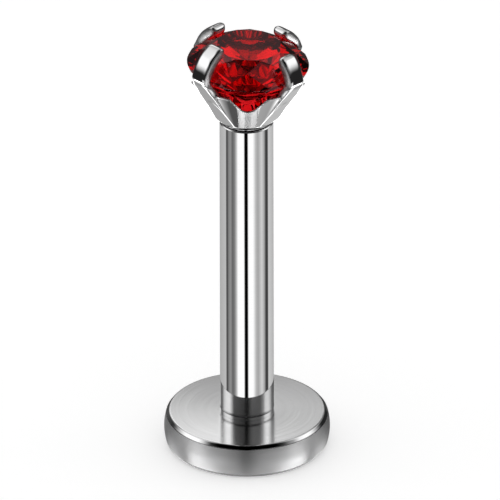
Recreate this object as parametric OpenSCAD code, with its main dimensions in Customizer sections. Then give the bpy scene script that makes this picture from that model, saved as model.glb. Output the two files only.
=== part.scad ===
// Labret stud: a flat disc back, a round tubular post and a push-fit top in
// which four bent prongs hold a round brilliant stone.
// Units are millimetres, Z points up and the origin is the middle of the disc's
// underside, so the stud stands on its disc as it does when it isn't worn.

/* [Base disc] */
// Widest diameter of the disc, at the swell of its rim
disc_d = 4.0; // [3:0.05:6]
// Thickness of the disc
disc_t = 0.86; // [0.5:0.02:1.5]
// Diameter of the flat satin top face, inside the bevel
disc_face_d = 3.76; // [2.6:0.02:5.6]
// Height of the polished bevel round the top face
disc_bevel_h = 0.085; // [0.03:0.005:0.2]
// How far the rim swells beyond its upper and lower edges
rim_swell = 0.05; // [0.01:0.005:0.1]
// Height of the rounded bottom edge
disc_edge_h = 0.10; // [0.03:0.005:0.2]
// Width of the rounded bottom edge, measured along the radius
disc_edge_w = 0.085; // [0.03:0.005:0.2]

/* [Post] */
// Outer diameter of the post (16 gauge)
post_d = 1.30; // [1:0.01:1.6]
// Length of the post above the disc
post_l = 7.90; // [5:0.1:12]
// Diameter of the blind bore that takes the pin of the top
bore_d = 0.80; // [0.6:0.01:1]
// Depth of the blind bore from the top of the post
bore_depth = 5.4; // [3:0.1:9]
// Chamfer on the post's top edge, outside and inside
post_chamfer = 0.02; // [0.01:0.005:0.06]
// Diameter of the reduced foot that is pressed into the disc
foot_d = 0.90; // [0.6:0.02:1.2]
// How far the weld bead round the post's foot stands out
bead_w = 0.012; // [0.005:0.001:0.04]
// Height of the weld bead round the post's foot
bead_h = 0.105; // [0.05:0.005:0.2]

/* [Prong head] */
// Diameter of the cup at its lower end, just above the post
cup_d = 1.48; // [1.3:0.01:1.6]
// How fast the cup's outside widens, radius gained per unit of height
cup_flare = 0.60; // [0.1:0.01:0.7]
// Height of the chamfer under the cup
cup_chamfer_h = 0.07; // [0.03:0.005:0.15]
// Width of the chamfer under the cup, measured along the radius
cup_chamfer_w = 0.056; // [0.03:0.002:0.1]
// How fast the head's trimmed foot widens above the chamfer, radius gained per unit of height
foot_spread = 1.3; // [0.8:0.05:2]
// Thickness of the cup's floor
cup_floor_t = 0.12; // [0.08:0.01:0.3]
// Radius of the inner edge of the seat under the stone
seat_in_r = 0.92; // [0.7:0.01:1]
// Height of the straight well above the cup's floor
well_h = 0.20; // [0.12:0.01:0.3]
// Height of the room bored for the pin's flange above the cup's floor, square to the post
flange_room_h = 0.30; // [0.2:0.01:0.4]
// Height of the cup's flat rim beside the legs
cup_rim_z = 1.30; // [1:0.01:1.4]
// Height of the lowest point of the scallops in the cup's rim
scallop_z = 0.86; // [0.4:0.01:1]
// Radius at the bottom of each scallop
scallop_r = 0.22; // [0.1:0.01:0.5]
// Slope of the scallops' sides in degrees from level
scallop_slope = 51; // [20:1:60]
// Radius of a leg's outer face at the foot
leg_foot_r = 0.61; // [0.5:0.01:0.65]
// How fast a leg runs outward, radius gained per unit of height
leg_run = 0.69; // [0.4:0.01:0.9]
// Width of a leg
leg_w = 0.57; // [0.3:0.01:0.9]
// Thickness of a leg, measured along the radius
leg_t = 0.25; // [0.12:0.01:0.4]
// Height of the shoulder where a leg narrows to its prong
shoulder_z = 1.56; // [1.2:0.01:2]
// Width of a prong
prong_w = 0.46; // [0.25:0.01:0.7]
// Widest radius that each prong's outer curve reaches: back right, back left, front left, front right
prong_out_r = [1.74, 1.65, 1.79, 1.72]; // [1.5:0.01:2.2]
// Height at which the prongs' outer curve is widest
prong_out_z = 1.24; // [1:0.01:1.8]
// Radius of the prongs' outer curve over the stone
prong_curve_r = 1.10; // [0.8:0.01:1.5]
// Radius of the rounded bend between a leg and its prong
bend_r = 0.20; // [0.08:0.01:0.4]
// Radius from the head's axis to the tip of each prong, in the same order
prong_tip_r = [1.03, 0.94, 1.01, 1.16]; // [0.8:0.01:1.3]
// How much higher each hand-bent prong closes than the others, in the same order
prong_rise = [-0.12, -0.03, 0.20, 0.16]; // [-0.2:0.01:0.2]
// Radius of a prong's rounded nose, seen from the side, and half the prong's thickness
nose_r = 0.14; // [0.06:0.01:0.2]
// Radius of the rounded corners of a prong's tip, seen from above
tip_corner_r = 0.12; // [0.02:0.01:0.22]
// How far the head is turned on the post, in degrees
head_turn = 0.5; // [-45:0.5:45]
// How far the hand-set head leans, in degrees
head_lean = 1.5; // [0:0.5:5]
// Direction in which the head leans, in degrees from +X
head_lean_dir = 0; // [-180:5:180]

/* [Stone] */
// Diameter of the stone at its girdle
stone_d = 2.95; // [2:0.05:4]
// Width of the table, corner to corner, as a share of the stone's diameter
table_share = 0.56; // [0.45:0.01:0.65]
// How far the star facets reach from the table's edge towards the girdle, as a share
star_reach = 0.55; // [0.45:0.01:0.65]
// How far the lower girdle facets reach from the girdle towards the culet, as a share
lower_reach = 0.77; // [0.7:0.01:0.85]
// Height of the middle of the girdle above the post
girdle_z = 1.56; // [1.2:0.01:2]
// Thickness of the girdle where it is thickest
girdle_t = 0.05; // [0.04:0.01:0.15]
// Angle of the crown's main facets in degrees
crown_angle = 35.0; // [28:0.1:38]
// Angle of the pavilion's main facets in degrees
pavilion_angle = 40.7; // [38:0.1:43]
// How far the stone is turned against the prongs, in degrees
stone_turn = 20.5; // [0:0.5:45]
// How far the hand-set stone tilts in its prongs, in degrees
stone_tilt = 1; // [0:0.5:4]

/* [Push pin] */
// Diameter of the pin
pin_d = 0.72; // [0.5:0.01:0.9]
// Length of the pin below the cup
pin_l = 4.6; // [3:0.1:8]
// Chamfer on the pin's tip
pin_tip_chamfer = 0.08; // [0.04:0.01:0.2]
// Diameter of the pin's flange on the cup's floor
flange_d = 0.86; // [0.7:0.01:1]
// Thickness of the pin's flange
flange_t = 0.05; // [0.03:0.01:0.1]

/* [Fits] */
// Gap all round the pressed foot of the post in the disc
press_gap = 0.01; // [0.005:0.001:0.03]
// Gap between the post's shoulder and the disc
seam_gap = 0.01; // [0.005:0.001:0.03]
// Gap between the head and the post's top
head_gap = 0.01; // [0.005:0.001:0.03]
// Gap between the pin and the cup
pin_gap = 0.01; // [0.005:0.001:0.03]
// Gap between the stone and the metal that holds it
stone_gap = 0.012; // [0.005:0.001:0.03]

/* [Hidden] */
$fn = 96;

// How far a cutting shape runs past what it cuts, and a length that passes the head
cut = 0.5;
reach = 2 * max(prong_out_r);

// Heights shared by the pieces
post_top_z = disc_t + post_l;
head_z = post_top_z + head_gap;

// Rim: one arc between the bevel and the bottom edge
rim_r = disc_d / 2;
rim_z0 = disc_edge_h;
rim_z1 = disc_t - disc_bevel_h;
rim_half = (rim_z1 - rim_z0) / 2;
rim_arc_r = (rim_half * rim_half + rim_swell * rim_swell) / (2 * rim_swell);
rim_edge_r = rim_r - rim_swell;

// Direction of a leg's outer face in side view, and the one square to it
leg_dir = [leg_run, 1] / norm([leg_run, 1]);
leg_out = [leg_dir.y, -leg_dir.x];

// Stone
stone_r = stone_d / 2;
table_r = stone_r * table_share;
crown_run = tan(crown_angle);
pav_run = tan(pavilion_angle);
girdle_top = girdle_t / 2;
crown_h = (stone_r - table_r) * crown_run;
pav_h = stone_r * pav_run;
star_r = table_r * cos(22.5) + star_reach * (stone_r - table_r * cos(22.5));
lower_r = (1 - lower_reach) * stone_r;
arc_steps = 4;

// Half the disc's outline, from the axis outwards
module disc_outline() {
    intersection() {
        polygon([[0, 0], [rim_edge_r - disc_edge_w, 0], [rim_edge_r, disc_edge_h],
                 [rim_r + cut, disc_edge_h], [rim_r + cut, rim_z1], [rim_edge_r, rim_z1],
                 [disc_face_d / 2, disc_t], [0, disc_t]]);
        union() {
            square([rim_edge_r, disc_t]);
            translate([rim_r - rim_arc_r, rim_z0 + rim_half]) circle(r = rim_arc_r, $fn = 360);
        }
    }
}

module base_disc() {
    color([0.78, 0.79, 0.80])
    difference() {
        rotate_extrude() disc_outline();
        translate([0, 0, -cut]) cylinder(d = foot_d + 2 * press_gap, h = disc_t + 2 * cut);
    }
}

// Tube, foot and weld bead as one solid
module post() {
    post_r = post_d / 2;
    seam_z = disc_t + seam_gap;
    bore_r = bore_d / 2;
    bore_z = post_top_z - bore_depth;
    color([0.80, 0.81, 0.82])
    rotate_extrude()
    polygon([[0, 0], [foot_d / 2, 0], [foot_d / 2, seam_z],
             [post_r + bead_w, seam_z], [post_r + bead_w, seam_z + bead_h - bead_w],
             [post_r, seam_z + bead_h],
             [post_r, post_top_z - post_chamfer], [post_r - post_chamfer, post_top_z],
             [bore_r + post_chamfer, post_top_z], [bore_r, post_top_z - post_chamfer],
             [bore_r, bore_z], [0, bore_z]]);
}

// Height of the cone round the stone's pavilion above its girdle's middle
function pavilion_z(r) = -girdle_top - pav_h + r * pav_run;
// Height of the stone's crown above its girdle's middle
function crown_z(r) = girdle_top + (stone_r - r) * crown_run;

// Half the cup's outline: floor, flaring wall and the seat under the stone
module cup_outline() {
    cup_r = cup_d / 2;
    seat_z0 = girdle_z + pavilion_z(0) - stone_gap / cos(pavilion_angle);
    foot_r = cup_r - cup_chamfer_h * cup_flare;
    well_r = flange_d / 2 + pin_gap;
    polygon([[0, -cut], [foot_r - cut * cup_flare, -cut], [foot_r + cup_rim_z * cup_flare, cup_rim_z],
             [(cup_rim_z - seat_z0) / pav_run, cup_rim_z],
             [seat_in_r, seat_z0 + seat_in_r * pav_run],
             [well_r, cup_floor_t + well_h], [well_r, cup_floor_t], [0, cup_floor_t]]);
}

// Rounded V that is cut through the cup's rim between the legs
module scallop_outline() {
    c = scallop_z + scallop_r;
    tx = scallop_r * sin(scallop_slope);
    tz = c - scallop_r * cos(scallop_slope);
    translate([0, c]) circle(r = scallop_r);
    polygon([[-tx, tz], [tx, tz], [tx + reach, tz + reach * tan(scallop_slope)],
             [-tx - reach, tz + reach * tan(scallop_slope)]]);
}

// What lies outside a leg's outer face, cut away to leave flats on the cup
module flat_outline() {
    polygon([[leg_foot_r, 0] - cut * [leg_run, 1], [leg_foot_r, 0] + reach * [leg_run, 1],
             [2 * reach, reach], [2 * reach, -cut]]);
}

// Side view of a leg and its prong in one: straight outer face, rounded bend,
// outer curve over the stone and rounded nose. The nose lies inside the outer curve
// and the bend touches both that curve and the leg's outer face.
module strip_outline(out_r, tip_r, rise) {
    curve_c = [out_r - prong_curve_r, prong_out_z + rise];
    nose_reach = prong_curve_r - nose_r;
    nose_c = [tip_r + nose_r, curve_c.y + sqrt(pow(nose_reach, 2) - pow(tip_r + nose_r - curve_c.x, 2))];
    nose_dir = (nose_c - curve_c) / nose_reach;
    bend_start = [leg_foot_r, 0] - bend_r * leg_out;
    bend_off = bend_start - curve_c;
    bend_b = bend_off * leg_dir;
    bend_t = -bend_b + sqrt(pow(bend_b, 2) - bend_off * bend_off + pow(prong_curve_r - bend_r, 2));
    bend_c = bend_start + bend_t * leg_dir;
    bend_dir = (bend_c - curve_c) / norm(bend_c - curve_c);
    inner = [leg_foot_r - leg_t, 0];
    below = -cut * leg_dir / leg_dir.y;
    far = 2 * prong_curve_r;
    polygon([inner + below, [leg_foot_r, 0] + below, bend_c + bend_r * leg_out, bend_c,
             inner + leg_dir * (bend_c.y / leg_dir.y)]);
    translate(bend_c) circle(r = bend_r);
    translate(nose_c) circle(r = nose_r);
    intersection() {
        translate(curve_c) difference() {
            circle(r = prong_curve_r, $fn = 180);
            circle(r = prong_curve_r - 2 * nose_r, $fn = 180);
        }
        polygon([curve_c, curve_c + far * bend_dir, curve_c + far * (bend_dir + nose_dir),
                 curve_c + far * nose_dir]);
    }
}

// Room for the stone: pavilion, girdle and crown, each with the gap
module stone_room() {
    room_r = stone_r + stone_gap;
    seat_drop = stone_gap / cos(pavilion_angle);
    roof = stone_gap / cos(crown_angle);
    rotate_extrude()
    polygon([[0, pavilion_z(0) - seat_drop], [room_r, pavilion_z(room_r) - seat_drop],
             [room_r, crown_z(room_r) + roof], [table_r, crown_z(table_r) + roof],
             [0, crown_z(table_r) + roof]]);
}

// Envelope that trims the head's foot to the round of the post
module foot_trim() {
    rotate_extrude()
    polygon([[0, 0], [post_d / 2 - cup_chamfer_w, 0], [post_d / 2, cup_chamfer_h],
             [post_d / 2 + reach * foot_spread, cup_chamfer_h + reach], [0, cup_chamfer_h + reach]]);
}

// Plan of a leg and its prong from above, the prong's tip with round corners
module prong_plan(tip_r) {
    mid = tip_r + tip_corner_r;
    translate([mid, -prong_w / 2]) square([reach, prong_w]);
    translate([tip_r, tip_corner_r - prong_w / 2]) square([prong_w, prong_w - 2 * tip_corner_r]);
    for (s = [-1, 1]) translate([mid, s * (prong_w / 2 - tip_corner_r)]) circle(r = tip_corner_r);
}

// One strip: a leg up to its shoulder and the narrower prong above it
module strip(out_r, tip_r, rise) {
    intersection() {
        rotate([90, 0, 0]) translate([0, 0, -leg_w / 2]) linear_extrude(height = leg_w)
            strip_outline(out_r, tip_r, rise);
        union() {
            translate([0, -leg_w, -cut]) cube([reach, 2 * leg_w, cut + shoulder_z]);
            linear_extrude(height = reach) prong_plan(tip_r);
        }
    }
}

// The slight lean of the head on the post
module lean() {
    rotate([0, 0, head_lean_dir]) rotate([0, head_lean, 0]) rotate([0, 0, -head_lean_dir])
        children();
}

// The stone's place: level with its girdle and tilted the way the head leans
module stone_place() {
    translate([0, 0, girdle_z]) rotate([0, 0, head_lean_dir]) rotate([0, stone_tilt, 0])
        rotate([0, 0, -head_lean_dir]) children();
}

module prong_head() {
    color([0.80, 0.81, 0.82])
    translate([0, 0, head_z])
    difference() {
        intersection() {
            lean() difference() {
                rotate([0, 0, head_turn]) union() {
                    difference() {
                        rotate_extrude() cup_outline();
                        for (a = [0, 90]) rotate([0, 0, a]) translate([0, reach, 0]) rotate([90, 0, 0])
                            linear_extrude(height = 2 * reach) scallop_outline();
                        for (a = [45 : 90 : 315]) rotate([0, 0, a]) translate([0, reach, 0])
                            rotate([90, 0, 0]) linear_extrude(height = 2 * reach) flat_outline();
                    }
                    for (k = [0 : 3]) rotate([0, 0, 45 + 90 * k])
                        strip(prong_out_r[k], prong_tip_r[k], prong_rise[k]);
                }
                stone_place() stone_room();
            }
            foot_trim();
        }
        translate([0, 0, -cut]) cylinder(d = pin_d + 2 * pin_gap, h = cup_floor_t + 2 * cut);
        translate([0, 0, cup_floor_t]) cylinder(r = flange_d / 2 + pin_gap, h = flange_room_h);
    }
}

module push_pin() {
    color([0.72, 0.73, 0.74])
    translate([0, 0, head_z])
    rotate_extrude()
    polygon([[0, -pin_l], [pin_d / 2 - pin_tip_chamfer, -pin_l],
             [pin_d / 2, -pin_l + pin_tip_chamfer],
             [pin_d / 2, cup_floor_t + pin_gap], [flange_d / 2, cup_floor_t + pin_gap],
             [flange_d / 2, cup_floor_t + pin_gap + flange_t], [0, cup_floor_t + pin_gap + flange_t]]);
}

function ring_pt(r, a, z) = [r * cos(a), r * sin(a), z];

// Steps round the girdle, and the height of its upper edge at each step: the
// upper girdle facets are flat, so their edges on the round girdle dip midway
girdle_n = 16 * arc_steps;
function facet_dip(i) =
    let (a = (i % arc_steps) * 22.5 / arc_steps)
    stone_r * (cos(a - 11.25) - cos(11.25)) / cos(11.25);

module stone() {
    top_z = girdle_top + crown_h;
    star_z = girdle_top + (stone_r - star_r * cos(22.5)) * crown_run;
    up_run = (star_z - girdle_top) / (stone_r * cos(11.25) - star_r * cos(11.25));
    low_z = -girdle_top - pav_h + lower_r * cos(22.5) * pav_run;
    low_run = (-girdle_top - low_z) / (stone_r * cos(11.25) - lower_r * cos(11.25));
    table_pts = [for (k = [0 : 7]) ring_pt(table_r, 45 * k, top_z)];
    star_pts = [for (k = [0 : 7]) ring_pt(star_r, 45 * k + 22.5, star_z)];
    upper_pts = [for (i = [0 : girdle_n - 1])
        ring_pt(stone_r, i * 360 / girdle_n, girdle_top - facet_dip(i) * up_run * cos(11.25))];
    lower_pts = [for (i = [0 : girdle_n - 1])
        ring_pt(stone_r, i * 360 / girdle_n, -girdle_top + facet_dip(i) * low_run * cos(11.25))];
    low_pts = [for (k = [0 : 7]) ring_pt(lower_r, 45 * k + 22.5, low_z)];
    culet = [[0, 0, -girdle_top - pav_h]];
    t = 0;
    s = 8;
    u = 16;
    l = u + girdle_n;
    p = l + girdle_n;
    c = p + 8;
    half = arc_steps;
    faces = concat(
        [[for (k = [7 : -1 : 0]) t + k]],
        [for (k = [0 : 7]) [t + k, t + (k + 1) % 8, s + k]],
        [for (k = [0 : 7]) [t + k, s + k, u + 2 * half * k, s + (k + 7) % 8]],
        [for (k = [0 : 7]) concat([s + k], [for (j = [half : -1 : 0]) u + 2 * half * k + j])],
        [for (k = [0 : 7]) concat([s + k],
            [for (j = [2 * half : -1 : half]) u + (2 * half * k + j) % girdle_n])],
        [for (i = [0 : girdle_n - 1]) [u + i, u + (i + 1) % girdle_n, l + (i + 1) % girdle_n, l + i]],
        [for (k = [0 : 7]) concat([p + k], [for (j = [0 : half]) l + 2 * half * k + j])],
        [for (k = [0 : 7]) concat([p + k],
            [for (j = [half : 2 * half]) l + (2 * half * k + j) % girdle_n])],
        [for (k = [0 : 7]) [c, p + (k + 7) % 8, l + 2 * half * k, p + k]]);
    color([0.45, 0.0, 0.03])
    translate([0, 0, head_z]) lean() stone_place() rotate([0, 0, head_turn + stone_turn])
    polyhedron(points = concat(table_pts, star_pts, upper_pts, lower_pts, low_pts, culet), faces = faces);
}

base_disc();
post();
prong_head();
push_pin();
stone();
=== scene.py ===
import math

import bmesh
import bpy
from mathutils import Matrix, Quaternion, Vector


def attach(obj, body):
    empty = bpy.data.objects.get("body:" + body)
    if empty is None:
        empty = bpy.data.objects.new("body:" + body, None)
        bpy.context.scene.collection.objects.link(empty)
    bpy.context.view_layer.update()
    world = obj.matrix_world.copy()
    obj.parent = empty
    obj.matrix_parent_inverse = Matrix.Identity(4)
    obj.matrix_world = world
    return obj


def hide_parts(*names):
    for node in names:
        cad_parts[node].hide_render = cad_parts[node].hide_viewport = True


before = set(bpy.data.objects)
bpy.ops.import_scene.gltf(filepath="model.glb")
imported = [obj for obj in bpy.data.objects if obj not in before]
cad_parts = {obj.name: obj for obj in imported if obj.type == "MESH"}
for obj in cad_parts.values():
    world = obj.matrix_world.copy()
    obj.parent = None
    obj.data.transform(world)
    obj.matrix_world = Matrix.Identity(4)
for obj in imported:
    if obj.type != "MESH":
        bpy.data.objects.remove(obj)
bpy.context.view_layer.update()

# Lengths of the stud in millimetres, the same as in the CAD source
MM = 0.001
DISC_D, DISC_T, DISC_FACE_D = 4.0, 0.86, 3.76
DISC_BEVEL_H, RIM_SWELL = 0.085, 0.05
DISC_EDGE_H, DISC_EDGE_W = 0.10, 0.085
POST_D, POST_L, POST_CHAMFER = 1.30, 7.90, 0.02
BORE_D, BORE_DEPTH = 0.80, 5.4
FOOT_D = 0.90
CUP_D, CUP_FLARE, CUP_FLOOR_T, CUP_RIM_Z = 1.48, 0.60, 0.12, 1.30
CUP_CHAMFER_H, CUP_CHAMFER_W, FOOT_SPREAD = 0.07, 0.056, 1.3
SEAT_IN_R, WELL_H, FLANGE_ROOM_H = 0.92, 0.20, 0.30
SCALLOP_Z, SCALLOP_R, SCALLOP_SLOPE = 0.86, 0.22, math.radians(51)
LEG_FOOT_R, LEG_RUN, LEG_W, LEG_T, SHOULDER_Z = 0.61, 0.69, 0.57, 0.25, 1.56
PRONG_W, PRONG_OUT_Z, PRONG_CURVE_R, BEND_R, NOSE_R, TIP_CORNER_R = 0.46, 1.24, 1.10, 0.20, 0.14, 0.12
# Widest radius, tip radius and rise of each prong: back right, back left, front left, front right.
# They differ a little from the CAD's, because softening the edges draws the prongs in.
PRONGS = [(1.74, 1.01, -0.10), (1.65, 0.92, 0.0), (1.79, 0.99, 0.20), (1.72, 1.14, 0.18)]
HEAD_TURN, HEAD_LEAN = math.radians(0.5), math.radians(1.5)
STONE_D, TABLE_SHARE, GIRDLE_Z, GIRDLE_T = 2.95, 0.56, 1.56, 0.05
CROWN_ANGLE, PAVILION_ANGLE, STONE_TILT = math.radians(35), math.radians(40.7), math.radians(1)
PIN_D, PIN_L, FLANGE_D, FLANGE_T, PIN_TIP_CHAMFER = 0.72, 4.6, 0.86, 0.05, 0.08
PRESS_GAP = SEAM_GAP = HEAD_GAP = PIN_GAP = 0.01
STONE_GAP = 0.012

POST_TOP_Z = DISC_T + POST_L
HEAD_Z = POST_TOP_Z + HEAD_GAP
# How far a cutting shape runs past what it cuts, and a length that passes the head
CUT, REACH = 0.5, 3.6

# The weld ring at the post's foot, which is plain and stands out a little in the CAD: its gap over
# the disc, its height and how far it lies in from the post's wall, the depth and height of the slit
# above it, and the lip over the slit, which fades out upwards
WELD_GAP, BEAD_H, BEAD_IN = 0.002, 0.098, 0.004
SLIT_IN, SLIT_H, LIP_OUT, LIP_FADE_H = 0.04, 0.024, 0.008, 0.05

# Radii of the worn edges: the disc's lower ones, both ends of its bevel, the post's top,
# both ends of the pin's tip, and the pin's flange
LOW_EDGE_R, BEVEL_OUT_R, BEVEL_IN_R, POST_EDGE_R = 0.03, 0.07, 0.06, 0.006
PIN_TIP_R, PIN_WALL_R, FLANGE_EDGE_R = 0.03, 0.06, 0.008

# Cells of the head's mesh, and the rounds of smoothing for all of it and for its prongs, whose
# edges are rounder from a certain height on
CELL, SOFT_ROUNDS, PRONG_SOFT_ROUNDS = 0.018, 8, 110
SOFT_FROM_Z, SOFT_OVER_Z = 1.15, 0.3
# How far sideways of the nearest leg a face must point to be a prong's side or an edge of the cup, which
# get darker steel as painted shade, and how far down or up an edge may point
SIDE_TURN, EDGE_TURN, EDGE_DOWN, EDGE_UP = 0.72, 0.25, -0.48, 0.3

# Camera: the photograph's scale, height of view and framing, and its distance in metres
MM_PER_PIXEL, FRAME_PIXELS, CAMERA_AWAY = 0.02412, 500, 0.1
VIEW_ELEVATION = math.radians(28.2)
AIM = (0.080, 0.0, 5.207)
ROLL = math.radians(-0.12)


def arc(centre, radius, start, end, steps):
    """Points of an arc about centre, angles in radians."""
    return [(centre[0] + radius * math.cos(start + (end - start) * i / steps),
             centre[1] + radius * math.sin(start + (end - start) * i / steps)) for i in range(steps + 1)]


def rounded(points, radii, steps=5):
    """A closed outline whose corners are turned into arcs. radii maps a corner's index to its radius.
    A point just past each end of an arc keeps the shading of the straight parts straight."""
    out = []
    for i, p in enumerate(points):
        r = radii.get(i, 0)
        if not r:
            out.append(p)
            continue
        here = Vector(p)
        a = (Vector(points[i - 1]) - here).normalized()
        b = (Vector(points[(i + 1) % len(points)]) - here).normalized()
        half = a.angle(b) / 2
        centre = here + (a + b).normalized() * (r / math.sin(half))
        p0, p1 = here + a * (r / math.tan(half)), here + b * (r / math.tan(half))
        out.append(tuple(p0 + a * 0.001))
        a0 = math.atan2(p0.y - centre.y, p0.x - centre.x)
        turn = math.atan2(p1.y - centre.y, p1.x - centre.x) - a0
        turn = (turn + math.pi) % (2 * math.pi) - math.pi
        out += arc(centre, r, a0, a0 + turn, steps) + [tuple(p1 + b * 0.001)]
    return out


def build(name, verts, faces):
    mesh = bpy.data.meshes.new(name)
    mesh.from_pydata(verts, [], faces)
    obj = bpy.data.objects.new(name, mesh)
    bpy.context.scene.collection.objects.link(obj)
    bm = bmesh.new()
    bm.from_mesh(mesh)
    bmesh.ops.recalc_face_normals(bm, faces=bm.faces)
    bm.to_mesh(mesh)
    bm.free()
    return obj


def lathe(name, outline, steps=256):
    """Turns a closed outline of (radius, height) points about the Z axis."""
    verts, rings = [], []
    for r, z in outline:
        if r < 1e-9:
            rings.append([len(verts)] * steps)
            verts.append((0, 0, z))
        else:
            rings.append(list(range(len(verts), len(verts) + steps)))
            verts += [(r * math.cos(2 * math.pi * i / steps), r * math.sin(2 * math.pi * i / steps), z)
                      for i in range(steps)]
    faces = []
    for a, b in zip(rings, rings[1:] + rings[:1]):
        for i in range(steps):
            j = (i + 1) % steps
            face = []
            for v in (a[i], a[j], b[j], b[i]):
                if v not in face:
                    face.append(v)
            if len(face) > 2:
                faces.append(face)
    return build(name, verts, faces)


def prism(name, outline, low, high, upright=True):
    """Extrudes a closed outline: along Z if upright, otherwise along Y with the outline in the XZ plane."""
    n = len(outline)
    if upright:
        verts = [(x, y, low) for x, y in outline] + [(x, y, high) for x, y in outline]
    else:
        verts = [(x, low, z) for x, z in outline] + [(x, high, z) for x, z in outline]
    faces = [list(range(n)), list(range(2 * n - 1, n - 1, -1))]
    faces += [[i, i + n, (i + 1) % n + n, (i + 1) % n] for i in range(n)]
    return build(name, verts, faces)


def bake(obj):
    """Applies an object's modifiers to its mesh."""
    graph = bpy.context.evaluated_depsgraph_get()
    mesh = bpy.data.meshes.new_from_object(obj.evaluated_get(graph))
    obj.modifiers.clear()
    obj.data = mesh
    return obj


def boolean(obj, other, operation):
    mod = obj.modifiers.new(operation, "BOOLEAN")
    mod.operation, mod.object, mod.solver = operation, other, "EXACT"
    bake(obj)
    bpy.data.objects.remove(other)
    return obj


def keep_largest(obj):
    """Deletes the crumbs that a remesh leaves loose, all but the largest connected part."""
    bm = bmesh.new()
    bm.from_mesh(obj.data)
    left, largest = set(bm.verts), set()
    while left:
        waiting = [left.pop()]
        part = set(waiting)
        while waiting:
            for edge in waiting.pop().link_edges:
                for v in edge.verts:
                    if v in left:
                        left.remove(v)
                        part.add(v)
                        waiting.append(v)
        if len(part) > len(largest):
            largest = part
    bmesh.ops.delete(bm, geom=[v for v in bm.verts if v not in largest], context="VERTS")
    bm.to_mesh(obj.data)
    bm.free()


def turned(obj, *matrices):
    """Moves an object's mesh by the matrices, the last one first."""
    m = Matrix.Identity(4)
    for each in matrices:
        m = m @ each
    obj.data.transform(m)
    return obj


def finish_piece(obj, body, node, materials, sharp=30):
    """Brings a piece from millimetres to metres, shades it, gives it its materials, hangs it on its body
    and hides the CAD part that it replaces.
    """
    obj.data.transform(Matrix.Scale(MM, 4))
    obj.data.polygons.foreach_set("use_smooth", [True] * len(obj.data.polygons))
    obj.data.set_sharp_from_angle(angle=math.radians(sharp))
    for m in materials:
        obj.data.materials.append(m)
    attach(obj, body)
    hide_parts(node)
    return obj


class Nodes:
    """A short way to write a node tree."""

    def __init__(self, tree):
        self.tree = tree
        tree.nodes.clear()

    def add(self, kind, inputs=None, **settings):
        node = self.tree.nodes.new(kind)
        for key, value in settings.items():
            setattr(node, key, value)
        for key, value in (inputs or {}).items():
            if isinstance(value, bpy.types.NodeSocket):
                self.tree.links.new(value, node.inputs[key])
            else:
                node.inputs[key].default_value = value
        return node

    def math(self, operation, *values):
        return self.add("ShaderNodeMath", dict(enumerate(values)), operation=operation).outputs[0]

    def fit(self, value, low, high, to_low=0.0, to_high=1.0, smooth=True):
        return self.add("ShaderNodeMapRange", {"Value": value, "From Min": low, "From Max": high,
                                               "To Min": to_low, "To Max": to_high},
                        interpolation_type="SMOOTHSTEP" if smooth else "LINEAR").outputs[0]

    def mix(self, factor, a, b):
        node = self.add("ShaderNodeMix", {"Factor": factor, "A": a, "B": b}, data_type="FLOAT")
        return node.outputs["Result"]

    def ramp(self, value, stops):
        node = self.add("ShaderNodeValToRGB", {"Fac": value})
        ramp = node.color_ramp
        while len(ramp.elements) > 1:
            ramp.elements.remove(ramp.elements[-1])
        ramp.elements[0].position = stops[0][0]
        ramp.elements[0].color = stops[0][1]
        for position, colour in stops[1:]:
            ramp.elements.new(position).color = colour
        return node.outputs["Color"]

    def millimetres(self, scale=(1, 1, 1)):
        """The piece's own coordinates in millimetres, stretched by scale."""
        coord = self.add("ShaderNodeTexCoord").outputs["Object"]
        return self.add("ShaderNodeMapping", {"Vector": coord, "Scale": [s / MM for s in scale]}).outputs[0]

    def noise(self, vector, scale, detail=3.0, rough=0.5):
        return self.add("ShaderNodeTexNoise", {"Vector": vector, "Scale": scale, "Detail": detail,
                                               "Roughness": rough}).outputs["Fac"]


# How far turned rings wander from round, and the fineness of the steel's faint clouds
RING_DRIFT, CLOUD_SCALE = 0.02, 1.7


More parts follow.
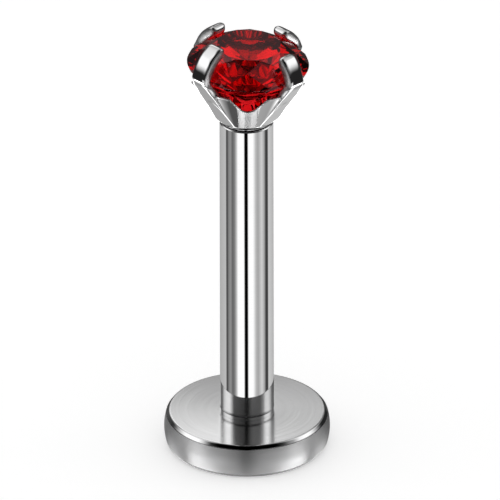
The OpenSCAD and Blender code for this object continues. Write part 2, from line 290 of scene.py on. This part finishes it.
def steel(name, tone, rough, grain, grain_scale, bump, mottle=0.02, brushed=0.0, painted_light=None):
    """Steel. grain is the stretch of its finest marks along X, Y and Z, or "turned" for rings about
    the axis, and the last argument paints light and shade: how much the tone changes for each millimetre
    along X and Y."""
    mat = bpy.data.materials.new(name)
    mat.use_nodes = True
    n = Nodes(mat.node_tree)
    if grain == "turned":
        parts = n.add("ShaderNodeSeparateXYZ", {0: n.millimetres()})
        x, y = parts.outputs[0], parts.outputs[1]
        radius = n.math("SQRT", n.math("ADD", n.math("MULTIPLY", x, x), n.math("MULTIPLY", y, y)))
        across, along = n.math("MULTIPLY", x, RING_DRIFT), n.math("MULTIPLY", y, RING_DRIFT)
        lines = n.add("ShaderNodeCombineXYZ", {0: across, 1: along, 2: radius}).outputs[0]
    else:
        lines = n.millimetres(grain)
    marks = n.noise(lines, grain_scale, 4.0, 0.6)
    clouds = n.noise(n.millimetres(), CLOUD_SCALE)
    low, high = tone - mottle, tone + mottle
    colour = n.ramp(n.mix(0.5, marks, clouds), [(0.3, (low, low, tone - mottle * 0.8, 1)),
                                                (0.7, (high, high, high, 1))])
    # The tone is multiplied by a painted gradient of light and shade
    if painted_light:
        at = n.add("ShaderNodeSeparateXYZ", {0: n.millimetres()})
        painted_light_factor = n.math("MULTIPLY_ADD", at.outputs[1], painted_light[1], 1.0)
        painted_light_factor = n.math("MULTIPLY_ADD", at.outputs[0], painted_light[0], painted_light_factor)
        colour = n.add("ShaderNodeVectorMath", {0: colour, 1: painted_light_factor}, operation="MULTIPLY").outputs[0]
    roughness = n.fit(marks, 0.25, 0.75, rough * 0.8, rough * 1.2, smooth=False)
    normal = n.add("ShaderNodeBump", {"Height": marks, "Strength": 1.0, "Distance": bump * MM}).outputs[0]
    inputs = {"Base Color": colour, "Metallic": 1.0, "Roughness": roughness, "Normal": normal}
    if brushed:
        inputs["Anisotropic"], inputs["Anisotropic Rotation"] = brushed, 0.25
        inputs["Tangent"] = n.add("ShaderNodeTangent", direction_type="RADIAL", axis="Z").outputs[0]
    shader = n.add("ShaderNodeBsdfPrincipled", inputs)
    n.add("ShaderNodeOutputMaterial", {"Surface": shader.outputs[0]})
    return mat


def red_stone():
    """Deep red cubic zirconia: clear facets, colour from depth, faint zoning."""
    mat = bpy.data.materials.new("red_stone")
    mat.use_nodes = True
    n = Nodes(mat.node_tree)
    zones = n.noise(n.millimetres(), 0.9, 2.0)
    colour = n.ramp(zones, [(0.3, (1.0, 0.10, 0.13, 1)), (0.7, (1.0, 0.07, 0.10, 1))])
    shader = n.add("ShaderNodeBsdfPrincipled", {
        "Base Color": colour, "Roughness": 0.0, "IOR": 2.16, "Transmission Weight": 1.0,
        "Specular Tint": (1.0, 0.3, 0.33, 1)})
    depth = n.add("ShaderNodeVolumeAbsorption", {"Color": (0.88, 0.02, 0.04, 1), "Density": 1000.0})
    n.add("ShaderNodeOutputMaterial", {"Surface": shader.outputs[0], "Volume": depth.outputs[0]})
    return mat


# Materials. The darkest steel, of tone 0.12, is painted shade on the disc's lowest edge, where it meets the
# floor, and in the slit at the post's foot. SOFT_SHADED, for the sides of the prongs, is rougher and a
# little darker, the darker tone painted shade, and EDGE_SHADE is darker steel, painted shade on the sides
# of the cup and legs.
MIRROR = steel("mirror_steel", 0.80, 0.035, (0.3, 0.3, 3.0), 9.0, 0.00002)
# The satin disc top is lighter towards the front and left and darker towards the back and right: a painted
# gradient of light and shade
SATIN = steel("satin_steel", 0.74, 0.20, "turned", 22.0, 0.0002, brushed=0.85, painted_light=(-0.045, -0.2))
BRUSHED = steel("brushed_steel", 0.94, 0.48, (0.25, 0.25, 14.0), 2.2, 0.0005, mottle=0.04, brushed=0.95)
PAINTED_SHADE = steel("painted_shade_steel", 0.12, 0.40, (2.0, 2.0, 2.0), 6.0, 0.0005, mottle=0.03)
TURNED = steel("turned_steel", 0.62, 0.18, (0.2, 0.2, 12.0), 2.5, 0.0005, mottle=0.04)
SOFT_SHADED = steel("soft_shaded_steel", 0.66, 0.42, (0.3, 0.3, 3.0), 9.0, 0.0002)
EDGE_SHADE = steel("edge_shade_steel", 0.30, 0.35, (0.3, 0.3, 3.0), 9.0, 0.0002)
GEM = red_stone()


def make_disc():
    rim_r = DISC_D / 2
    edge_r = rim_r - RIM_SWELL
    z0, z1 = DISC_EDGE_H, DISC_T - DISC_BEVEL_H
    half = (z1 - z0) / 2
    swell_r = (half * half + RIM_SWELL * RIM_SWELL) / (2 * RIM_SWELL)
    opening = math.asin(half / swell_r)
    swell = arc((rim_r - swell_r, z0 + half), swell_r, -opening, opening, 24)
    hole_r = FOOT_D / 2 + PRESS_GAP
    corners = [(hole_r, 0), (edge_r - DISC_EDGE_W, 0)] + swell
    corners += [(DISC_FACE_D / 2, DISC_T), (hole_r, DISC_T)]
    last = len(swell) + 1
    radii = {1: LOW_EDGE_R, 2: LOW_EDGE_R, last: BEVEL_OUT_R, last + 1: BEVEL_IN_R}
    disc = lathe("disc", rounded(corners, radii, 8), 320)

    # The bevel's polish and the wall's brushing each run a little over their lower edge
    bevel_end, wall_end, edge_in = z1 - 0.008, z0 - 0.01, 0.06
    bevel_top, bevel_in = DISC_T - 0.0005, 0.02
    for p in disc.data.polygons:
        r, z = math.hypot(p.center.x, p.center.y), p.center.z
        if bevel_end < z < bevel_top and r > DISC_FACE_D / 2 - bevel_in:
            p.material_index = 1
        elif wall_end < z <= bevel_end and r > edge_r - edge_in:
            p.material_index = 2
        # The lowest edge gets the darkest steel, painted shade where the disc meets the floor
        elif z <= wall_end and r > edge_r - DISC_EDGE_W - edge_in:
            p.material_index = 3
    return finish_piece(disc, "back", "base_disc", [SATIN, MIRROR, BRUSHED, PAINTED_SHADE])


def make_post():
    r, bore_r = POST_D / 2, BORE_D / 2
    seam_z, bore_z = DISC_T + SEAM_GAP, POST_TOP_Z - BORE_DEPTH
    slit_z = DISC_T + BEAD_H
    lip_z = slit_z + SLIT_H
    # A second point just past the lip keeps the wall's shading straight
    just_past, near = 0.002, 0.001
    corners = [(0, 0), (FOOT_D / 2, 0), (FOOT_D / 2, seam_z), (r - BEAD_IN, DISC_T + WELD_GAP),
               (r - BEAD_IN, slit_z), (r - SLIT_IN, slit_z), (r - SLIT_IN, lip_z), (r + LIP_OUT, lip_z),
               (r, lip_z + LIP_FADE_H), (r, lip_z + LIP_FADE_H + just_past),
               (r, POST_TOP_Z - POST_CHAMFER), (r - POST_CHAMFER, POST_TOP_Z),
               (bore_r + POST_CHAMFER, POST_TOP_Z), (bore_r, POST_TOP_Z - POST_CHAMFER), (bore_r, bore_z),
               (0, bore_z)]
    post = lathe("post_tube", rounded(corners, {10: POST_EDGE_R, 11: POST_EDGE_R}))
    # The slit gets the darkest steel, painted shade in the recess
    for p in post.data.polygons:
        in_slit = FOOT_D / 2 < math.hypot(p.center.x, p.center.y) < r - BEAD_IN - 2 * near
        if in_slit and slit_z - near < p.center.z < lip_z - near:
            p.material_index = 1
    return finish_piece(post, "back", "post", [MIRROR, PAINTED_SHADE])


def make_pin():
    r, top = PIN_D / 2, CUP_FLOOR_T + PIN_GAP + FLANGE_T
    corners = [(0, -PIN_L), (r - PIN_TIP_CHAMFER, -PIN_L), (r, -PIN_L + PIN_TIP_CHAMFER),
               (r, top - FLANGE_T), (FLANGE_D / 2, top - FLANGE_T), (FLANGE_D / 2, top), (0, top)]
    pin = lathe("plug_pin", rounded(
        corners, {1: PIN_TIP_R, 2: PIN_WALL_R, 4: FLANGE_EDGE_R, 5: FLANGE_EDGE_R}), 128)
    turned(pin, Matrix.Translation((0, 0, HEAD_Z)))
    return finish_piece(pin, "top", "push_pin", [TURNED])


def strip_outline(out_r, tip_r, rise):
    """Side view of a leg and its prong: straight leg, bend, outer curve and nose."""
    curve_c = Vector((out_r - PRONG_CURVE_R, PRONG_OUT_Z + rise))
    nose_reach = PRONG_CURVE_R - NOSE_R
    nose_x = tip_r + NOSE_R
    nose_c = Vector((nose_x, curve_c.y + math.sqrt(nose_reach ** 2 - (nose_x - curve_c.x) ** 2)))
    leg_dir = Vector((LEG_RUN, 1)).normalized()
    leg_out = Vector((leg_dir.y, -leg_dir.x))
    off = Vector((LEG_FOOT_R, 0)) - BEND_R * leg_out - curve_c
    b = off.dot(leg_dir)
    along = -b + math.sqrt(b * b - off.dot(off) + (PRONG_CURVE_R - BEND_R) ** 2)
    bend_c = curve_c + off + along * leg_dir
    inner = Vector((LEG_FOOT_R - LEG_T, 0))
    below = -CUT / leg_dir.y * leg_dir

    def angle(v):
        return math.atan2(v.y, v.x)

    to_bend, to_nose = angle(bend_c - curve_c), angle(nose_c - curve_c)
    inner_r = PRONG_CURVE_R - 2 * NOSE_R
    return [tuple(inner + below), tuple(Vector((LEG_FOOT_R, 0)) + below)] \
        + arc(bend_c, BEND_R, angle(leg_out), to_bend, 16) \
        + arc(curve_c, PRONG_CURVE_R, to_bend, to_nose, 48)[1:] \
        + arc(nose_c, NOSE_R, to_nose, to_nose + math.pi, 20)[1:] \
        + arc(curve_c, inner_r, to_nose, to_bend, 32)[1:] \
        + [tuple(inner + leg_dir * (bend_c.y / leg_dir.y))]


def prong_plan(tip_r):
    """The prong from above, with rounded corners at its tip."""
    w, r = PRONG_W / 2, TIP_CORNER_R
    return [(REACH, -w), (REACH, w)] \
        + arc((tip_r + r, w - r), r, math.pi / 2, math.pi, 10) \
        + arc((tip_r + r, r - w), r, math.pi, 1.5 * math.pi, 10)


def make_head():
    pav_run, crown_run = math.tan(PAVILION_ANGLE), math.tan(CROWN_ANGLE)
    stone_r, table_r = STONE_D / 2, STONE_D / 2 * TABLE_SHARE

    def pavilion_z(r):
        return -GIRDLE_T / 2 - stone_r * pav_run + r * pav_run

    def crown_z(r):
        return GIRDLE_T / 2 + (stone_r - r) * crown_run

    drop, roof = STONE_GAP / math.cos(PAVILION_ANGLE), STONE_GAP / math.cos(CROWN_ANGLE)
    seat_z0 = GIRDLE_Z + pavilion_z(0) - drop
    cup_foot_r = CUP_D / 2 - CUP_CHAMFER_H * CUP_FLARE
    well_r = FLANGE_D / 2 + PIN_GAP
    head = lathe("setting", [
        (0, -CUT), (cup_foot_r - CUT * CUP_FLARE, -CUT), (cup_foot_r + CUP_RIM_Z * CUP_FLARE, CUP_RIM_Z),
        ((CUP_RIM_Z - seat_z0) / pav_run, CUP_RIM_Z), (SEAT_IN_R, seat_z0 + SEAT_IN_R * pav_run),
        (well_r, CUP_FLOOR_T + WELL_H), (0, CUP_FLOOR_T + WELL_H)])

    # Scallops in the cup's rim, each a rounded V cut right across
    top = SCALLOP_Z + SCALLOP_R
    v = arc((0, top), SCALLOP_R, -math.pi / 2 - SCALLOP_SLOPE, -math.pi / 2 + SCALLOP_SLOPE, 24)
    rise = REACH * math.tan(SCALLOP_SLOPE)
    v = v + [(v[-1][0] + REACH, v[-1][1] + rise), (v[0][0] - REACH, v[0][1] + rise)]
    for quarter in range(2):
        cutter = turned(prism("cutter", v, -REACH, REACH, upright=False),
                        Matrix.Rotation(quarter * math.pi / 2, 4, "Z"))
        boolean(head, cutter, "DIFFERENCE")

    # Flats on the cup, a hair outside the plane of each leg's outer face
    start = LEG_FOOT_R + 0.004
    low, high = start - CUT * LEG_RUN, start + REACH * LEG_RUN
    flat = [(low, -CUT), (high, REACH), (2 * REACH, REACH), (2 * REACH, -CUT)]
    for k in range(4):
        cutter = turned(prism("cutter", flat, -REACH, REACH, upright=False),
                        Matrix.Rotation(math.pi / 4 + k * math.pi / 2, 4, "Z"))
        boolean(head, cutter, "DIFFERENCE")

    # Four strips, each a leg up to its shoulder and the narrower prong above it
    low_box = [(0, -LEG_W), (REACH, -LEG_W), (REACH, LEG_W), (0, LEG_W)]
    for k, (out_r, tip_r, rise) in enumerate(PRONGS):
        outline = strip_outline(out_r, tip_r, rise)
        leg = prism("leg", outline, -LEG_W / 2, LEG_W / 2, upright=False)
        boolean(leg, prism("low", low_box, -2 * CUT, SHOULDER_Z), "INTERSECT")
        prong = prism("prong", outline, -PRONG_W / 2, PRONG_W / 2, upright=False)
        boolean(prong, prism("plan", prong_plan(tip_r), 0, REACH), "INTERSECT")
        boolean(leg, prong, "UNION")
        turned(leg, Matrix.Rotation(math.pi / 4 + k * math.pi / 2, 4, "Z"))
        boolean(head, leg, "UNION")
    turned(head, Matrix.Rotation(HEAD_TURN, 4, "Z"))

    # Room for the stone, with its tilt
    room_r = stone_r + STONE_GAP
    room = lathe("room", [(0, pavilion_z(0) - drop), (room_r, pavilion_z(room_r) - drop),
                          (room_r, crown_z(room_r) + roof), (table_r, crown_z(table_r) + roof),
                          (0, crown_z(table_r) + roof)])
    turned(room, Matrix.Translation((0, 0, GIRDLE_Z)), Matrix.Rotation(STONE_TILT, 4, "Y"))
    boolean(head, room, "DIFFERENCE")

    # The slight lean, then the foot trimmed square to the post and the pin's hole
    turned(head, Matrix.Rotation(HEAD_LEAN, 4, "Y"))
    r = POST_D / 2
    trim = lathe("trim", [(0, 0), (r - CUP_CHAMFER_W, 0), (r, CUP_CHAMFER_H),
                          (r + REACH * FOOT_SPREAD, CUP_CHAMFER_H + REACH), (0, CUP_CHAMFER_H + REACH)])
    boolean(head, trim, "INTERSECT")
    hole_r = PIN_D / 2 + PIN_GAP
    hole = lathe("hole", [(0, -CUT), (hole_r, -CUT), (hole_r, CUP_FLOOR_T), (well_r, CUP_FLOOR_T),
                          (well_r, CUP_FLOOR_T + FLANGE_ROOM_H), (0, CUP_FLOOR_T + FLANGE_ROOM_H)], 128)
    boolean(head, hole, "DIFFERENCE")

    # Polishing softens every edge a little, and those of the prongs more
    remesh = head.modifiers.new("fine", "REMESH")
    remesh.mode, remesh.voxel_size = "VOXEL", CELL
    bake(head)
    keep_largest(head)
    prongs = head.vertex_groups.new(name="prongs")
    for v in head.data.vertices:
        share = (v.co.z - SOFT_FROM_Z) / SOFT_OVER_Z
        if share > 0:
            prongs.add([v.index], min(share, 1), "REPLACE")
    for group, rounds in (("", SOFT_ROUNDS), ("prongs", PRONG_SOFT_ROUNDS)):
        soft = head.modifiers.new("soft", "SMOOTH")
        soft.factor, soft.iterations, soft.vertex_group = 0.5, rounds, group
    bake(head)
    # Faces that point sideways get darker steel as painted shade: the prongs' sides a little, the sides of
    # the cup and legs more
    for p in head.data.polygons:
        quarters = round((math.atan2(p.center.y, p.center.x) - HEAD_TURN - math.pi / 4) / (math.pi / 2))
        leg_at = math.pi / 4 + HEAD_TURN + quarters * math.pi / 2
        sideways = abs(p.normal.y * math.cos(leg_at) - p.normal.x * math.sin(leg_at))
        if sideways > SIDE_TURN and p.center.z > SOFT_FROM_Z:
            p.material_index = 1
        elif sideways > EDGE_TURN and p.center.z < SHOULDER_Z and EDGE_DOWN < p.normal.z < EDGE_UP:
            p.material_index = 2
    turned(head, Matrix.Translation((0, 0, HEAD_Z)))
    return finish_piece(head, "top", "prong_head", [MIRROR, SOFT_SHADED, EDGE_SHADE], sharp=180)


make_disc()
make_post()
make_pin()
make_head()
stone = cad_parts["stone"]
if not stone.data.materials:
    stone.data.materials.append(GEM)
for slot in stone.material_slots:
    slot.material = GEM

# Floor: its half width and its height in metres, just under the disc, and its own glow
FLOOR_HALF, FLOOR_Z, FLOOR_GLOW = 0.5, -2e-6, 0.42


def make_floor():
    """Plain and pale. Polished metal and the stone mirror the studio in its place."""
    corners = [(x * FLOOR_HALF, y * FLOOR_HALF, FLOOR_Z) for x, y in ((-1, -1), (1, -1), (1, 1), (-1, 1))]
    floor = build("floor", corners, [[0, 1, 2, 3]])
    paper = bpy.data.materials.new("paper")
    paper.use_nodes = True
    n = Nodes(paper.node_tree)
    clouds = n.noise(n.millimetres(), 0.05)
    tone = n.ramp(clouds, [(0.3, (0.93, 0.93, 0.93, 1)), (0.7, (0.95, 0.95, 0.95, 1))])
    shader = n.add("ShaderNodeBsdfPrincipled", {
        "Base Color": tone, "Roughness": 1.0, "Specular IOR Level": 0.0,
        "Emission Color": (1, 1, 1, 1), "Emission Strength": FLOOR_GLOW})
    n.add("ShaderNodeOutputMaterial", {"Surface": shader.outputs[0]})
    floor.data.materials.append(paper)
    floor.visible_glossy = False
    floor.visible_transmission = False


make_floor()

# Studio: brightness of the lights and dark cards that stand round the stud, by
# their direction in degrees from the camera, in bands one above the other. STRIPS, which the post
# mirrors, was worked out from brightness readings across the photograph's post.
LOW = [(-180, 3.6), (-168, 3.6), (-152, 3.0), (-136, 1.8), (-120, 0.5), (-99, 0.8), (-94, 6.4),
       (-78, 6.4), (-66, 2.6), (-56, 1.7), (-40, 1.1), (-24, 0.66), (-8, 0.34), (8, 0.3), (24, 0.6),
       (40, 1.1), (56, 1.7), (66, 2.4), (78, 6.4), (95, 6.4), (100, 0.9), (120, 0.8), (136, 2.0),
       (152, 3.0), (168, 3.0), (180, 3.4)]
LEGS = [(-180, 0.9), (-162, 0.75), (-150, 0.35), (-135, 0.3), (-112, 0.5), (-98, 2.0), (-86, 2.2),
        (-74, 0.8), (-56, 0.7), (-8, 0.32), (8, 0.3), (56, 0.8), (74, 0.9), (86, 2.2), (98, 2.0),
        (112, 0.5), (135, 0.3), (150, 0.4), (162, 0.75), (180, 0.9)]
SIDES = [(-180, 0.1), (-98, 0.02), (-76, 0.02), (-68, 1.0), (-56, 0.9), (-8, 0.32), (8, 0.3), (56, 0.9),
         (68, 1.0), (76, 0.02), (98, 0.02), (180, 0.1)]
STRIPS = [(-180, 0.42), (-101, 0.62), (-97, 0.10), (-90, 0.09), (-84, 0.26), (-73, 0.34), (-63, 0.15),
          (-53, 0.26), (-45, 0.6), (-37, 1.25), (-12, 1.25), (-8, 0.0), (4, 0.0), (8, 1.25), (27, 1.25),
          (40, 0.6), (50, 0.46), (68, 0.78), (80, 0.5), (90, 0.06), (102, 0.06), (108, 0.72), (180, 0.42)]
HORIZON = [(-180, 0.1), (-150, 0.1), (-120, 0.02), (180, 0.02)]
ABOVE = [(-180, 1.15), (-160, 0.9), (-148, 0.15), (-130, 0.2), (-115, 1.0), (-100, 1.3), (-80, 1.3),
         (-70, 0.7), (-60, 0.12), (-40, 0.08), (-15, 0.05), (-5, 0.0), (3, 0.0), (10, 0.06), (25, 0.14),
         (60, 0.13), (76, 0.4), (86, 1.1), (96, 1.3), (107, 1.3), (120, 0.9), (130, 0.35), (150, 0.15),
         (165, 0.3), (171, 0.2), (178, 0.22), (180, 1.15)]
HIGH = [(-180, 0.5), (-150, 0.7), (-120, 0.95), (-95, 1.1), (-85, 0.8), (-76, 0.3), (-64, 0.0), (64, 0.0),
        (78, 0.3), (90, 0.9), (120, 0.7), (150, 0.5), (180, 0.5)]
# Where each band gives way to the next one up. The lowest is LOW, which comes back above LEGS.
BANDS = [(-54, -51, LEGS), (-45, -43, LOW), (-34, -31, STRIPS), (-25, -22, SIDES), (-7, -2, HORIZON),
         (12, 30, ABOVE), (38, 46, HIGH)]
OVERHEAD, OVERHEAD_FROM = 0.03, (56, 75)
# Straight under the stud, and what its flat disc shows of the ceiling, from left to right and in
# the same way from front to back
UNDER = [(-1, 0.5), (-0.36, 0.45), (-0.29, 0.1), (-0.19, 0.1), (-0.14, 2.0), (0.14, 2.0), (0.19, 0.45),
         (0.3, 0.4), (0.36, 0.45), (1, 0.5)]
UNDER_FROM = (-62, -69)
PEAK = 6.4
# The same for light that passes through the stone, and the even light on the floor
THROUGH = [(-180, 1.4), (-150, 1.4), (-140, 0.05), (-110, 0.05), (-100, 1.1), (-60, 1.1), (-50, 0.05),
           (50, 0.05), (60, 1.1), (100, 1.1), (110, 0.05), (140, 0.05), (150, 1.4), (180, 1.4)]
THROUGH_HIGH = [(-180, 0.25), (-60, 0.3), (-30, 1.3), (-5, 1.5), (5, 0.1), (12, 1.5), (25, 1.2),
                (60, 0.3), (180, 0.25)]
THROUGH_HIGH_FROM = (22, 28)
THROUGH_TOP, THROUGH_TOP_FROM = 1.6, (58, 66)
EVEN = 0.62


def studio(world):
    world.use_nodes = True
    n = Nodes(world.node_tree)
    direction = n.add("ShaderNodeTexCoord").outputs["Generated"]
    parts = n.add("ShaderNodeSeparateXYZ", {0: direction})
    x, y, z = parts.outputs[0], parts.outputs[1], parts.outputs[2]
    turn = n.math("ARCTAN2", x, n.math("MULTIPLY", y, -1.0))
    turn = n.math("MULTIPLY_ADD", turn, 1 / (2 * math.pi), 0.5)

    def cards(stops):
        ring = [((a + 180) / 360, (level / PEAK,) * 3 + (1,)) for a, level in stops]
        return n.add("ShaderNodeRGBToBW", {0: n.ramp(turn, ring)}).outputs[0]

    def past(start, end):
        return n.fit(z, math.sin(math.radians(start)), math.sin(math.radians(end)))

    level = cards(LOW)
    for start, end, stops in BANDS:
        level = n.mix(past(start, end), level, cards(stops))
    path = n.add("ShaderNodeLightPath")
    twice = n.math("GREATER_THAN", path.outputs["Ray Depth"], 2.5)
    across = [((a + 1) / 2, (b / PEAK,) * 3 + (1,)) for a, b in UNDER]
    under = n.math("MINIMUM", *(n.add("ShaderNodeRGBToBW", {
        0: n.ramp(n.math("MULTIPLY_ADD", v, 0.5, 0.5), across)}).outputs[0] for v in (x, y)))
    level = n.mix(past(*OVERHEAD_FROM), level, n.mix(twice, OVERHEAD / PEAK, under))
    level = n.mix(past(*UNDER_FROM), level, under)
    inside = n.mix(past(*THROUGH_HIGH_FROM), cards(THROUGH), cards(THROUGH_HIGH))
    inside = n.mix(past(*THROUGH_TOP_FROM), inside, THROUGH_TOP / PEAK)
    level = n.mix(path.outputs["Is Transmission Ray"], level, inside)
    level = n.mix(path.outputs["Is Diffuse Ray"], level, EVEN / PEAK)
    lit = n.add("ShaderNodeBackground", {"Color": level, "Strength": PEAK})
    plain = n.add("ShaderNodeBackground", {"Color": (0.95, 0.95, 0.95, 1), "Strength": 1.0})
    both = n.add("ShaderNodeMixShader", {
        0: path.outputs["Is Camera Ray"], 1: lit.outputs[0], 2: plain.outputs[0]})
    n.add("ShaderNodeOutputWorld", {"Surface": both.outputs[0]})


world = bpy.data.worlds.new("studio")
bpy.context.scene.world = world
studio(world)
bpy.context.scene.view_settings.view_transform = "Standard"

# Camera at the photograph's angle
back = Vector((0, -math.cos(VIEW_ELEVATION), math.sin(VIEW_ELEVATION)))
lens = bpy.data.cameras.new("camera")
lens.type = "ORTHO"
lens.ortho_scale = MM_PER_PIXEL * FRAME_PIXELS * MM
lens.clip_start, lens.clip_end = 0.001, 2.0
camera = bpy.data.objects.new("camera", lens)
camera.location = Vector(AIM) * MM + back * CAMERA_AWAY
camera.rotation_mode = "QUATERNION"
camera.rotation_quaternion = Quaternion(back, ROLL) @ (-back).to_track_quat("-Z", "Y")
bpy.context.scene.collection.objects.link(camera)
bpy.context.scene.camera = camera
